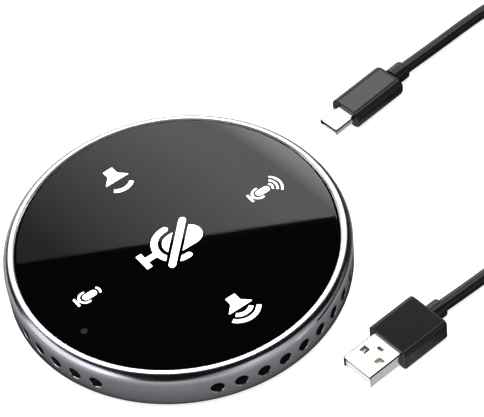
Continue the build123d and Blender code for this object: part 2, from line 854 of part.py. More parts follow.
with BuildPart() as usb_c_relief:
    with BuildSketch(plug_c(plug_c_len + relief_c_len)):
        Circle(relief_c_d / 2)
    extrude(amount=relief_c_len)
    fillet(usb_c_relief.faces().sort_by(Axis.Y)[-1].edges(), 0.5)
save(usb_c_relief.part, "usb_c_relief")

# ---------------------------------------------------------------- cable: USB-A end
with BuildPart() as usb_a_shell:
    long, high, reach = plug_a_shell
    with BuildSketch(plug_a()):
        RectangleRounded(long, high, 0.5)
    extrude(amount=reach)
    with BuildSketch(plug_a()):
        Rectangle(long - 2 * shell_t, high - 2 * shell_t)
    extrude(amount=reach, mode=Mode.SUBTRACT)
    latch = plug_a(-(reach - 6.2))
    for side in (-1, 1):
        top = Plane(
            origin=latch.origin + latch.x_dir * side * 3.2, x_dir=latch.x_dir, z_dir=(0, 0, 1)
        )
        with BuildSketch(top):
            Rectangle(2.5, 2.5)
        extrude(amount=high, both=True, mode=Mode.SUBTRACT)
    slot = plug_a(-(reach - 9.6))
    with BuildSketch(Plane(origin=slot.origin, x_dir=slot.x_dir, z_dir=(0, 0, 1))):
        SlotOverall(2.6, 1.3)
    extrude(amount=high, mode=Mode.SUBTRACT)
save(usb_a_shell.part, "usb_a_shell")

with BuildPart() as usb_a_insert:
    with BuildSketch(plug_a()):
        with Locations((0, -high / 2 + shell_t + 0.95)):
            Rectangle(long - 2 * shell_t, 1.9)
    extrude(amount=reach - 0.6)
save(usb_a_insert.part, "usb_a_insert")

with BuildPart() as usb_a_contacts:
    with BuildSketch(plug_a(-2.0)):
        for place, width in ((-3.5, 1.0), (-1.0, 1.0), (1.0, 1.0), (3.5, 1.0)):
            with Locations((place, -high / 2 + shell_t + 1.9 + 0.05)):
                Rectangle(width, 0.1)
    extrude(amount=8.2)
save(usb_a_contacts.part, "usb_a_contacts")

with BuildPart() as usb_a_overmould:
    with BuildSketch(plug_a(plug_a_len)):
        RectangleRounded(plug_a_w, plug_a_h, 1.6)
    extrude(amount=plug_a_len)
    fillet(usb_a_overmould.faces().sort_by(Axis.Y)[-1].edges(), 1.0)
    fillet(usb_a_overmould.faces().sort_by(Axis.Y)[0].edges(), 0.35)
save(usb_a_overmould.part, "usb_a_overmould")

with BuildPart() as usb_a_relief:
    with BuildSketch(plug_a(plug_a_len + relief_a_len)):
        Circle(relief_a_d / 2)
    extrude(amount=relief_a_len)
    fillet(usb_a_relief.faces().sort_by(Axis.Y)[-1].edges(), 0.4)
save(usb_a_relief.part, "usb_a_relief")

# ---------------------------------------------------------------- cable: the cord
lie = cord_d / 2 + 0.05  # cord centre above the table where it lies
coil_outer_r = coil_inner_r + cord_d * (coil_turns_wide + 1)
coil_height = cord_d * coil_turns_high + 0.1
coil_path_r = coil_outer_r - cord_d / 2


def end_of(plane):
    return (plane.origin.X, plane.origin.Y, plane.origin.Z)


cord_c_points = [
    end_of(plug_c(plug_c_len + relief_c_len)),
    (1.3, 121.0, 2.9),
    (2.05, 136.5, 2.2),
    (4.1, 151.0, lie),
    (12.0, 163.5, lie),
    (26.0, 169.5, lie),
    (42.5, 168.5, lie),
    (58.0, 161.0, lie),
    (coil_centre[0], coil_centre[1] + coil_path_r, lie),
]
cord_a_points = [
    end_of(plug_a(plug_a_len + relief_a_len)),
    (75.8, 49.5, 3.2),
    (76.8, 63.0, 2.3),
    (80.5, 77.0, lie),
    (90.5, 91.5, lie),
    (101.5, 105.5, 4.0),
    (coil_centre[0] + coil_path_r, coil_centre[1], lie + cord_d),
]


def cord_tube(label, points):
    """A round cord along straight runs joined by arcs as large as the runs allow."""
    spots = [Vector(*point) for point in points]
    runs = [(b - a).length for a, b in zip(spots, spots[1:])]
    turns = [
        (b - a).get_angle(c - b) for a, b, c in zip(spots, spots[1:], spots[2:])
    ]
    radii = [
        0.45 * min(before, after) / math.tan(math.radians(turn / 2))
        for before, after, turn in zip(runs, runs[1:], turns)
    ]
    with BuildPart() as made:
        with BuildLine():
            path = FilletPolyline(*spots, radius=radii)
        with BuildSketch(Plane(origin=path @ 0, z_dir=path % 0)):
            Circle(cord_d / 2)
        sweep(path=path)
    length = path.length
    share = made.part.volume / (math.pi * cord_d**2 / 4 * length)
    print(label, "length", round(length, 1), "radii", [round(r, 1) for r in radii])
    print(label, "volume over section times length", round(share, 4))
    save(made.part, label)
    return length


free_c = cord_tube("cord_usb_c_end", cord_c_points)
free_a = cord_tube("cord_usb_a_end", cord_a_points)

with BuildPart() as cord_coil:
    with BuildSketch(Plane(origin=(*coil_centre, 0), x_dir=(1, 0, 0), z_dir=(0, -1, 0))):
        with Locations(((coil_inner_r + coil_outer_r) / 2, coil_height / 2)):
            RectangleRounded(coil_outer_r - coil_inner_r, coil_height, cord_d / 2 - 0.1)
    revolve(axis=Axis((*coil_centre, 0), (0, 0, 1)))
save(cord_coil.part, "cord_coil")

wound = 2 * math.pi * (coil_turns_wide * coil_turns_high + 0.25) * (coil_inner_r + coil_outer_r) / 2
print("cord length with the coil", round(free_c + free_a + wound))
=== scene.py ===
import json
import math

import bmesh
import bpy
import numpy as np
from mathutils import Matrix, Vector


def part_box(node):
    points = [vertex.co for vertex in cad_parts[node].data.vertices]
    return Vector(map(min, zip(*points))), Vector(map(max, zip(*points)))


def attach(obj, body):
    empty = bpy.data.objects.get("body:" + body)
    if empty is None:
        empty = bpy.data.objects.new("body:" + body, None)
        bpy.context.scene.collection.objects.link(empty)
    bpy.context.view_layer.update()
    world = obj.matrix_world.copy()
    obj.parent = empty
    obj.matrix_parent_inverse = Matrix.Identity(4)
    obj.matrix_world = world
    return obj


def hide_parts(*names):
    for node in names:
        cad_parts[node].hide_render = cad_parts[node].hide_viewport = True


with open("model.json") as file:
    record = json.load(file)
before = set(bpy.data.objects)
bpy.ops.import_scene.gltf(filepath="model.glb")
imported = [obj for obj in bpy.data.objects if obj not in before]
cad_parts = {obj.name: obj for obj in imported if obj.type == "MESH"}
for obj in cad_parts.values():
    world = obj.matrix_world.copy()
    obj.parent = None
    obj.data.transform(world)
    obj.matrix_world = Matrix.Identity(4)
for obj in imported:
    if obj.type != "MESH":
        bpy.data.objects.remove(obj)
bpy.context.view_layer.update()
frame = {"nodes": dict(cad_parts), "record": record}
nodes = frame["nodes"]
stage = bpy.context.scene

MM = 0.001

# sizes that the frame gives
glass_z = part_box("top_glass")[1].z

# where the camera stands, and how high; the studio is set up on the same line
azimuth, elevation = math.radians(50.35), math.radians(48.86)


# ---------------------------------------------------------------- camera
def place_camera():
    """A long lens high in front of the right side, turned a little about its own axis."""
    distance, turn_aside, look_down, roll = 0.9186, 2.00, 48.45, -7.37
    yaw, pitch, tilt = (math.radians(angle) for angle in (turn_aside, look_down, roll))
    spin = Matrix.Rotation(azimuth, 3, "Z")
    spot = Vector((0, -math.cos(elevation), math.sin(elevation))) * distance
    forward = Vector((math.sin(yaw) * math.cos(pitch), math.cos(yaw) * math.cos(pitch), -math.sin(pitch)))
    right = forward.cross(Vector((0, 0, 1))).normalized()
    upward = right.cross(forward)
    across = right * math.cos(tilt) + upward * math.sin(tilt)
    rise = upward * math.cos(tilt) - right * math.sin(tilt)
    turned = spin @ Matrix((across, rise, -forward)).transposed()
    data = bpy.data.cameras.new("camera")
    data.lens, data.sensor_width = 223.1, 36.0
    data.clip_start, data.clip_end = 0.05, 20.0
    camera = bpy.data.objects.new("camera", data)
    camera.matrix_world = Matrix.Translation(spin @ spot + Vector((0, 0, glass_z))) @ turned.to_4x4()
    stage.collection.objects.link(camera)
    stage.camera = camera


place_camera()


# ---------------------------------------------------------------- materials
class Wire:
    """One socket that gives a value; arithmetic on it adds Math nodes."""

    def __init__(self, finish, socket):
        self.finish, self.socket = finish, socket

    def math(self, operation, other=0.0, flip=False):
        first, second = (other, self) if flip else (self, other)
        return self.finish.node("ShaderNodeMath", {"operation": operation}, {0: first, 1: second})

    def __add__(self, other):
        return self.math("ADD", other)

    __radd__ = __add__

    def __sub__(self, other):
        return self.math("SUBTRACT", other)

    def __rsub__(self, other):
        return self.math("SUBTRACT", other, flip=True)

    def __mul__(self, other):
        return self.math("MULTIPLY", other)

    __rmul__ = __mul__


class Nodes:
    """A node tree that is written as expressions."""

    def __init__(self, tree):
        self.tree = tree

    def feed(self, node, sockets):
        for key, value in sockets.items():
            if isinstance(value, Wire):
                self.tree.links.new(value.socket, node.inputs[key])
            elif isinstance(value, tuple) and len(value) == 3 and len(node.inputs[key].default_value) == 4:
                node.inputs[key].default_value = (*value, 1.0)
            else:
                node.inputs[key].default_value = value

    def node(self, kind, settings=None, sockets=None, output=0):
        """Any node: its settings first, a ramp's stops among them, then its sockets."""
        node = self.tree.nodes.new(kind)
        for key, value in (settings or {}).items():
            if key == "stops":
                ramp = node.color_ramp
                for index, (place, tone) in enumerate(value):
                    stop = ramp.elements[index] if index < 2 else ramp.elements.new(place)
                    stop.position = place
                    stop.color = (*tone, 1.0)
            else:
                setattr(node, key, value)
        self.feed(node, sockets or {})
        return Wire(self, node.outputs[output])

    def remap(self, value, low, high, to_low, to_high):
        """A value carried from one range to another, and held at its ends."""
        ends = {"From Min": low, "From Max": high, "To Min": to_low, "To Max": to_high}
        return self.node("ShaderNodeMapRange", {"clamp": True}, {"Value": value, **ends})

    def along(self, spot, way):
        """How far a place or direction lies along a given way: their dot product."""
        settings = {"operation": "DOT_PRODUCT"}
        return self.node("ShaderNodeVectorMath", settings, {0: spot, 1: tuple(way)}, output=1)

    def blend(self, share, first, second):
        """A mix of two colours."""
        settings = {"data_type": "RGBA"}
        return self.node("ShaderNodeMix", settings, {0: share, 6: first, 7: second}, output=2)


class Finish(Nodes):
    """A material built around one Principled shader."""

    def __init__(self, name, **constants):
        self.material = bpy.data.materials.new(name)
        self.material.use_nodes = True
        super().__init__(self.material.node_tree)
        self.tree.nodes.clear()
        self.output = self.tree.nodes.new("ShaderNodeOutputMaterial")
        self.shader = self.tree.nodes.new("ShaderNodeBsdfPrincipled")
        self.tree.links.new(self.shader.outputs[0], self.output.inputs[0])
        self.set(**constants)

    def set(self, **sockets):
        self.feed(self.shader, {key.replace("_", " "): value for key, value in sockets.items()})
        return self

    def place(self):
        return self.node("ShaderNodeTexCoord", output="Object")

    def noise(self, scale, detail=3.0, roughness=0.5, stretch=(1, 1, 1)):
        """Noise on the piece's own coordinates; scale is in features per metre."""
        spot = self.node("ShaderNodeMapping", {}, {"Vector": self.place(), "Scale": stretch})
        sockets = {"Vector": spot, "Scale": scale, "Detail": detail, "Roughness": roughness}
        return self.node("ShaderNodeTexNoise", {}, sockets)

    def bump(self, height, strength, distance):
        return self.node(
            "ShaderNodeBump", {}, {"Height": height, "Strength": strength, "Distance": distance}
        )


def shade(grey, tint=(1, 1, 1)):
    return tuple(grey * part for part in tint)


def anodised_aluminium():
    """Turned, then blasted and anodised: faint level streaks under a fine sparkle."""
    finish = Finish("anodised_aluminium", Metallic=1.0)
    cloud = finish.noise(60, 3)
    streak = finish.noise(40, 4, 0.7, (1, 1, 60))
    grain = finish.noise(9000, 2)
    cool = (0.97, 0.955, 1.05)
    colour = finish.blend(cloud * 0.4 + streak * 0.6, shade(0.4, cool), shade(0.66, cool))
    finish.set(Base_Color=colour, Roughness=finish.remap(grain, 0.3, 0.7, 0.16, 0.22))
    return finish.set(Normal=finish.bump(grain, 0.15, 0.00002)).material


def polished_metal(name, grey, rough, tint=(1, 1, 1), metal=1.0):
    """Bright metal with faint wiping marks; a plated one is a little less than all metal."""
    finish = Finish(name, Metallic=metal)
    marks = finish.noise(400, 4, 0.6, (1, 1, 6))
    colour = finish.blend(marks, shade(grey, tint), shade(min(1.0, grey * 1.05), tint))
    finish.set(Base_Color=colour, Roughness=finish.remap(marks, 0.3, 0.7, rough, rough * 1.5))
    return finish.material


def plated_shell(name, centre, axis, half_w, corner, shade_line_at):
    """A plug's folded shell: satin on its flat top, bright where it turns over its long edges.
    The distance from the plug's own centre line, which runs along axis, tells the two apart;
    the last argument is where a dark line of painted shade follows each long edge."""
    side = Vector((axis[1], -axis[0], 0)).normalized()
    finish = Finish(name)
    marks = finish.noise(900, 4, 0.6, (1, 6, 1))
    off = (finish.along(finish.place(), side) - Vector((*centre, 0)).dot(side) * MM).math("ABSOLUTE")
    turn = (half_w - corner) * MM
    metal = finish.remap(off, turn - 0.05 * MM, turn + 0.1 * MM, 0.35, 1.0)
    # painted shade: a near-black band along each long edge of the shell, standing for the fold in shade
    painted_shade_line = finish.remap(off, (shade_line_at - 0.08) * MM, shade_line_at * MM, 0.0, 1.0) * finish.remap(
        off, (shade_line_at + 0.35) * MM, (shade_line_at + 0.43) * MM, 1.0, 0.0
    )
    bright = finish.blend(marks, shade(0.86), shade(0.9))
    finish.set(Base_Color=finish.blend(painted_shade_line, bright, shade(0.015)), Metallic=metal)
    return finish.set(Roughness=finish.remap(marks, 0.3, 0.7, 0.1, 0.16)).material


def cover_glass():
    """Clear glass: a sharp reflection that grows towards grazing, and what lies under it."""
    finish = Finish("cover_glass", Base_Color=(0.0, 0.0, 0.0), Roughness=0.0)
    tree = finish.tree
    tree.nodes.remove(finish.shader)
    front = 1 - finish.node("ShaderNodeNewGeometry", output="Backfacing")
    share = finish.node("ShaderNodeFresnel", {}, {"IOR": 1.5}) * front
    gloss = finish.node("ShaderNodeBsdfGlossy", {}, {"Color": (1.0, 1.0, 1.0), "Roughness": 0.02})
    clear = finish.node("ShaderNodeBsdfTransparent", {}, {"Color": (1.0, 1.0, 1.0)})
    both = finish.node("ShaderNodeMixShader", {}, {0: share, 1: clear, 2: gloss})
    tree.links.new(both.socket, finish.output.inputs[0])
    return finish.material


def painted_glow_white():
    """White film; its glow is painted light, standing in for the light that falls on the printed icons."""
    finish = Finish("painted_glow_white", Roughness=0.6, Emission_Strength=0.9)
    grain = finish.noise(800, 2)
    glow = finish.blend(grain, (0.97, 0.97, 0.97), (1.0, 1.0, 1.0))
    return finish.set(Base_Color=glow, Emission_Color=glow).material


def plain_film(name, grey):
    """Printed film under the glass: no gloss of its own, a trace of unevenness."""
    finish = Finish(name, Roughness=0.8, Specular_IOR_Level=0.0)
    return finish.set(Base_Color=finish.blend(finish.noise(500), shade(grey * 0.9), shade(grey))).material


def moulded(name, colour, rough=0.45, grain=2500, depth=0.00004, mottle=0.15, gloss=0.5):
    """Spark-textured plastic or rubber: fine bump, and roughness that follows it."""
    finish = Finish(name, Specular_IOR_Level=gloss)
    texture = finish.noise(grain, 3, 0.6)
    patches = finish.noise(90, 3)
    dark = tuple(part * (1 - mottle) for part in colour)
    light = tuple(part * (1 + mottle) for part in colour)
    finish.set(Base_Color=finish.blend(patches, dark, light))
    finish.set(Roughness=finish.remap(texture, 0.3, 0.7, rough - 0.06, rough + 0.08))
    return finish.set(Normal=finish.bump(texture, 0.4, depth)).material


def woven_cloth():
    """Acoustic mesh: dark threads crossing at a tenth of a millimetre."""
    finish = Finish("acoustic_cloth", Roughness=0.9)
    spot = finish.place()
    settings = {"wave_type": "BANDS", "bands_direction": "Z"}
    warp = finish.node("ShaderNodeTexWave", settings, {"Vector": spot, "Scale": 1600.0})
    settings = {"bands_direction": "DIAGONAL"}
    weft = finish.node("ShaderNodeTexWave", settings, {"Vector": spot, "Scale": 1600.0})
    weave = warp * weft
    finish.set(Base_Color=finish.blend(weave, shade(0.003), shade(0.02)))
    return finish.set(Normal=finish.bump(weave, 0.5, 0.00003)).material


def circuit_board():
    """Green solder mask over copper tracks, which show as lighter lines."""
    finish = Finish("circuit_board", Roughness=0.35)
    tracks = finish.node(
        "ShaderNodeTexBrick",
        {},
        {
            "Vector": finish.place(),
            "Scale": 300.0,
            "Mortar Size": 0.03,
            "Color1": (0.004, 0.05, 0.025, 1.0),
            "Color2": (0.005, 0.06, 0.03, 1.0),
            "Mortar": (0.02, 0.16, 0.07, 1.0),
        },
    )
    return finish.set(Base_Color=tracks).material


finishes = {
    "anodised_aluminium": anodised_aluminium(),
    # painted highlight: a near-white, barely metallic finish for the hole bevels and a thin ring round
    # them, so that each hole shows a light rim
    "bright_edge": polished_metal("bright_edge", 0.9, 0.4, metal=0.05),
    # painted shade: near-black for the holes' passages and the inner wall behind them, where shade falls
    "painted_hole_shade": moulded("painted_hole_shade", shade(0.006), 0.8),
    "polished_trim": polished_metal("polished_trim", 0.9, 0.14, metal=0.6),
    "black_glass": cover_glass(),
    "black_film": plain_film("black_film", 0.0006),
    "white_diffuser": painted_glow_white(),
    "white_plastic": moulded("white_plastic", shade(0.8), 0.4, mottle=0.02),
    "smoked_status": plain_film("smoked_status", 0.014),
    "adhesive": moulded("adhesive", shade(0.015), 0.8),
    "acoustic_cloth": woven_cloth(),
    "black_plastic": moulded("black_plastic", shade(0.014), 0.5, 4000),
    "black_rubber": moulded("black_rubber", shade(0.012), 0.75, 3000),
    "label": moulded("label", shade(0.16), 0.5),
    "steel": polished_metal("steel", 0.85, 0.2, metal=0.5),
    "usb_c_plating": plated_shell("usb_c_plating", (-1.47, 78.9), (0.0558, 0.9984), 4.125, 1.2, 3.4),
    "usb_a_plating": plated_shell("usb_a_plating", (72.3, 14.5), (0.0924, 0.9957), 6.0, 0.5, 5.55),
    "black_steel": polished_metal("black_steel", 0.08, 0.35),
    "magnet": polished_metal("magnet", 0.7, 0.15),
    "copper": polished_metal("copper", 0.8, 0.3, (0.95, 0.45, 0.25)),
    "paper_cone": moulded("paper_cone", shade(0.02), 0.85, 1200),
    "circuit_board": circuit_board(),
    "chip": moulded("chip", shade(0.012), 0.55, 5000),
    "ceramic": moulded("ceramic", (0.35, 0.22, 0.12), 0.4),
    "tin_plate": polished_metal("tin_plate", 0.75, 0.3),
    "gold": polished_metal("gold", 0.95, 0.2, (1.0, 0.76, 0.4)),
    "grey_plug": moulded("grey_plug", shade(0.006), 0.16, 5000, 0.00001, gloss=0.25),
    "cord_jacket": moulded("cord_jacket", shade(0.0025), 0.3, 3500, gloss=0.5),
    "usb_white": moulded("usb_white", shade(0.75), 0.35, mottle=0.02),
    "amber_film": moulded("amber_film", (0.35, 0.13, 0.02), 0.3),
}
slot_of = {part["node"]: part["material_slot"] for part in frame["record"]["subparts"]}


def dress(piece, *slots):
    piece.data.materials.clear()
    for slot in slots:
        piece.data.materials.append(finishes[slot])


for node, slot in slot_of.items():
    dress(nodes[node], slot)
dress(nodes["usb_c_shell"], "usb_c_plating")
dress(nodes["usb_a_shell"], "usb_a_plating")


# ---------------------------------------------------------------- turned and pierced metal
def finish_piece(name, points, faces, slot, body, replaced=(), sharp=30.0, tones=None, extra=()):
    """Puts vertices and faces into a mesh, closes its seams and shades it smooth but for edges
    sharper than the given angle. tones gives each face's material: 0 the slot's own, then extra."""
    data = bpy.data.meshes.new(name)
    data.from_pydata(np.asarray(points).tolist(), [], np.asarray(faces).tolist())
    if tones is not None:
        data.polygons.foreach_set("material_index", np.asarray(tones, dtype=np.int32))
    work = bmesh.new()
    work.from_mesh(data)
    bmesh.ops.remove_doubles(work, verts=work.verts, dist=2e-6)
    bmesh.ops.dissolve_degenerate(work, edges=work.edges, dist=1e-6)
    work.to_mesh(data)
    work.free()
    data.shade_smooth()
    data.set_sharp_from_angle(angle=math.radians(sharp))
    piece = bpy.data.objects.new(name, data)
    stage.collection.objects.link(piece)
    dress(piece, slot, *extra)
    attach(piece, body)
    if replaced:
        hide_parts(*replaced)
    return piece


def grid_faces(rows, columns, wrap, first=0):
    """Quads over a grid of rows by columns; wrap joins the last column to the first."""
    along = np.arange(columns if wrap else columns - 1)
    down = np.arange(rows - 1)[:, None]
    here = first + down * columns + along
    there = first + down * columns + (along + 1) % columns
    return np.stack([here, there, there + columns, here + columns], axis=-1).reshape(-1, 4)


def around(profile, angles):
    """Each profile point (radius, z) carried round the axis: x = r cos a, y = r sin a."""
    radius, level = np.asarray(profile, float).T
    x = radius[:, None] * np.cos(angles)
    y = radius[:, None] * np.sin(angles)
    return np.stack([x, y, np.broadcast_to(level[:, None], x.shape)], axis=-1)


def eased(corners, steps=5):
    """A closed or open polygon whose corners, given as (r, z, radius), become arcs: the arc's
    ends lie radius times tan(half the turn) from the corner, and a quadratic bend joins them."""
    corners = np.asarray(corners, float)
    made = []
    for index, (r, z, radius) in enumerate(corners):
        here = corners[index, :2]
        if radius == 0:
            made.append(here)
            continue
        before = corners[index - 1, :2] - here
        after = corners[(index + 1) % len(corners), :2] - here
        before, after = before / np.linalg.norm(before), after / np.linalg.norm(after)
        half = (math.pi - math.acos(np.clip(before @ after, -1, 1))) / 2
        reach = radius * math.tan(half)
        t = np.linspace(0, 1, steps)[:, None]
        start, stop = here + before * reach, here + after * reach
        made.extend((1 - t) ** 2 * start + 2 * t * (1 - t) * here + t**2 * stop)
    return np.array(made)


def turned(name, profile, slot, body, replaced=(), columns=360, sharp=30.0):
    """A closed profile, counterclockwise in (radius, z), turned into a ring; a point at radius
    zero closes into a pole."""
    loop = np.vstack([profile, profile[:1]])
    points = around(loop, 2 * np.pi * np.arange(columns) / columns) * MM
    faces = grid_faces(len(loop), columns, True)
    return finish_piece(name, points.reshape(-1, 3), faces, slot, body, replaced, sharp)


# housing sizes, in millimetres
edge_r, edge_low, lean = 54.0, 1.56, 0.3
widest_z, trim_edge_r, trim_edge_z = 10.95, 51.87, 14.14
inner_wall_r, shelf_r, shelf_low, shelf_top = 51.2, 47.5, 12.25, 13.45
hole_r, hole_z, hole_bevel, painted_ring_width, pitch = 2.1, 7.1, 0.16, 0.2, math.radians(8)
band_low, band_high = hole_z - 3.2, hole_z + 3.2
port_half_w, port_half_h = 5.12, 2.23
per_side = 16
holed_cells = [*range(-2, 3), *range(7, 17), *range(-16, -6)]


def wall_at(level):
    """Outside radius of the leaning wall."""
    return edge_r - lean * (widest_z - level) / (widest_z - edge_low)


def cell_rim(half_w, half_h, sides_across):
    """Points round a rectangle, counterclockwise from its lower right corner, per_side to each
    upright side and sides_across to each level one; all in the wall's unrolled plane."""
    up = np.linspace(-half_h, half_h, per_side, endpoint=False)
    along = np.linspace(half_w, -half_w, sides_across, endpoint=False)
    right = np.column_stack([np.full(per_side, half_w), up])
    top = np.column_stack([along, np.full(sides_across, half_h)])
    return np.vstack([right, top, -right, -top])


def pill_rim(rim, half_w, half_h):
    """For each rim point, the point of a pill-shaped edge: a centre line point within the pill's
    straight part plus the pill's radius in the direction from there to the rim point."""
    straight = half_w - half_h
    level = np.clip(rim[:, 0], -straight, straight) * straight / half_w
    core = np.column_stack([level, np.zeros(len(rim))])
    aim = rim - core
    return core + half_h * aim / np.linalg.norm(aim, axis=1)[:, None]


def on_wall(flat, middle, depth):
    """Unrolled wall points (arc length, level above the holes) set on the wall, depth inside it:
    angle = middle + arc / outer radius, radius = wall radius - depth."""
    level = flat[..., 1] + hole_z
    angle = middle + flat[..., 0] / edge_r
    radius = wall_at(level) - depth
    return np.stack([radius * np.cos(angle), radius * np.sin(angle), level], axis=-1)


def on_inner_wall(flat, middle):
    angle = middle + flat[..., 0] / edge_r
    level = flat[..., 1] + hole_z
    return np.stack([inner_wall_r * np.cos(angle), inner_wall_r * np.sin(angle), level], axis=-1)


def pierced_cell(middle, half_w, across, hole_w, hole_h, bevel):
    """One cell with an opening, as rows of points: outer rectangle, four steps in to a narrow
    ring painted light as a highlight, the ring, the bevel, the passage, and out again over the inner wall."""
    rim = cell_rim(half_w, 3.2, across)
    edge = pill_rim(rim, hole_w, hole_h)
    wide = pill_rim(rim, hole_w + bevel, hole_h + bevel)
    # painted highlight: this ring on the flat wall, and the bevel inside it, take the near-white finish
    ring = pill_rim(rim, hole_w + bevel + painted_ring_width, hole_h + bevel + painted_ring_width)
    steps, shares = np.linspace(0, 1, 5)[:, None, None], np.linspace(0, 1, 6)[:, None, None]
    outer = on_wall(rim * (1 - steps) + ring * steps, middle, 0.0)
    inner = on_inner_wall(edge * (1 - shares) + rim * shares, middle)
    bevel_top = on_wall(wide[None], middle, 0.0)
    bevelled = on_wall(edge[None], middle, bevel)
    return np.concatenate([outer, bevel_top, bevelled, inner])


def plain_cell(middle, half_w, across):
    """One closed cell: a grid on the outer wall, and one on the inner wall facing the other way."""
    x = np.linspace(-half_w, half_w, across + 1)
    z = np.linspace(-3.2, 3.2, per_side + 1)
    flat = np.stack(np.meshgrid(x, z), axis=-1)
    return on_wall(flat, middle, 0.0), on_inner_wall(flat, middle)[::-1]


def build_housing():
    """The rim: a lower and an upper turned band, and between them 45 cells of 8 degrees, some
    pierced; the two cells at the rear are one wide cell for the port."""
    points, faces, tones, count = [], [], [], 0

    def add(rows, wrap, band_tones=None):
        nonlocal count
        made = grid_faces(rows.shape[0], rows.shape[1], wrap, count)
        bands = rows.shape[0] - 1
        tones.append(np.repeat(band_tones or [0] * bands, len(made) // bands))
        faces.append(made)
        points.append(rows.reshape(-1, 3))
        count += rows.shape[0] * rows.shape[1]

    # wall, a ring and bevel in a near-white finish as a painted highlight round each hole, and the passage
    # and inner wall painted near-black as painted shade
    pierced_tones = [0] * 4 + [1] * 2 + [2] * 6

    half_w = edge_r * pitch / 2
    cells = [index for index in range(-22, 23) if abs(index) != 22]
    for index in cells:
        middle = -math.pi / 2 + pitch * index
        if index in holed_cells:
            add(pierced_cell(middle, half_w, per_side, hole_r, hole_r, hole_bevel), True, pierced_tones)
        else:
            for rows in plain_cell(middle, half_w, per_side):
                add(rows, False)
    add(pierced_cell(math.pi / 2, 2 * half_w, 2 * per_side, port_half_w, port_half_h, 0.25), True, [0] * 12)

    columns = 45 * per_side
    angles = -math.pi / 2 + pitch / 2 + 2 * np.pi * np.arange(columns) / columns
    rise, inset = trim_edge_z - widest_z, edge_r - trim_edge_r
    bend = (inset**2 + rise**2) / (2 * inset)
    sweep = np.linspace(0, 2 * math.atan(inset / rise), 25)
    shoulder = np.column_stack([edge_r - bend + bend * np.cos(sweep), widest_z + bend * np.sin(sweep)])
    upper = [(wall_at(band_high), band_high), *shoulder, (trim_edge_r, shelf_top), (shelf_r, shelf_top)]
    upper += [(shelf_r, shelf_low), (inner_wall_r, shelf_low), (inner_wall_r, band_high)]
    add(around(upper, angles), True)
    corners = [(inner_wall_r, edge_low, 0), (wall_at(edge_low), edge_low, 0.5)]
    foot = eased([*corners, (wall_at(band_low), band_low, 0)], 8)
    add(around([(inner_wall_r, band_low), *foot], angles), True)
    finish_piece(
        "rim_housing",
        np.vstack(points) * MM,
        np.vstack(faces),
        "anodised_aluminium",
        "device",
        ("housing_ring",),
        tones=np.concatenate(tones),
        extra=("bright_edge", "painted_hole_shade"),
    )


build_housing()
turned(
    "trim",
    eased([(50.75, 13.45, 0), (51.87, 13.45, 0), (51.87, 14.14, 0.12), (50.75, 14.5, 0.15)]),
    "polished_trim",
    "device",
    ("trim_ring",),
    720,
)


def cover_plate():
    """The glass: flat, then 1.3 mm inside its rim it bends down by 8 degrees and runs straight
    to a small rounded edge. In the bend, height falls with the square of the distance."""
    rim, start, bend, slope = 50.65, 49.35, 0.2, math.tan(math.radians(8))
    out = np.linspace(0, 1, 6)
    brow = np.column_stack([start + bend * out, 14.5 - slope * bend * out**2 / 2])
    low = 14.5 - slope * (rim - 0.12 - start - bend / 2)
    edge = eased([(rim, low - 0.3, 0), (rim, low, 0.12), (start + bend, brow[-1, 1], 0)], 6)[1:-1]
    profile = [(0, 13.72), (rim - 0.1, 13.72), (rim, 13.82), *edge, *brow[::-1], (30.0, 14.5), (0, 14.5)]
    turned("cover_plate", np.array(profile), "black_glass", "device", ("top_glass",), 360, 40.0)


cover_plate()


def status_window():
    """A smoked disc that fills the film's small round opening, near the front."""
    centre = np.array([2.64, -43.17])
    turns = 2 * np.pi * np.arange(48) / 48
    rows = [
        np.column_stack([centre[0] + r * np.cos(turns), centre[1] + r * np.sin(turns), np.full(48, z)])
        for r, z in [(0, 13.62), (1.1, 13.62), (1.1, 13.69), (0, 13.69)]
    ]
    faces = grid_faces(4, 48, True)
    finish_piece("status_window", np.vstack(rows) * MM, faces, "smoked_status", "device")


status_window()


# ---------------------------------------------------------------- the cord
def cord_route():
    """The cord's control points: out of the USB-C end, round the coil, back to the USB-A end."""
    centre, inner_r, thick = (74.0, 123.0), 13.1, 4.2
    turns_wide, turns_high, per_turn = 4, 2, 16
    lie = thick / 2 + 0.05
    path_r = inner_r + thick * (turns_wide + 1) - thick / 2
    start = [
        (0.015, 105.46, 3.25),
        (1.3, 121.0, 2.9),
        (2.05, 136.5, 2.2),
        (4.1, 151.0, lie),
        (12.0, 163.5, lie),
        (26.0, 169.5, lie),
        (42.5, 168.5, lie),
        (58.0, 161.0, lie),
    ]
    # the coil: down in rings towards the middle, then out again one layer higher
    wound = []
    total = turns_wide * turns_high + 0.25
    for step in range(round(total * per_turn) + 1):
        turn = step / per_turn
        inward = min(turn, turns_wide)
        outward = min(max(turn - turns_wide, 0.0), turns_wide)
        radius = path_r - thick * inward + thick * outward
        climb = min(max((turn - turns_wide + 0.25) / 0.5, 0.0), 1.0)
        angle = math.pi / 2 - 2 * math.pi * turn
        x = centre[0] + radius * math.cos(angle)
        y = centre[1] + radius * math.sin(angle)
        wound.append((x, y, lie + thick * climb))
    finish = [
        (101.5, 105.5, 4.0),
        (90.5, 91.5, lie),
        (80.5, 77.0, lie),
        (76.8, 63.0, 2.3),
        (75.8, 49.5, 3.2),
        (74.36, 36.7, 3.95),
    ]
    return start + wound + finish


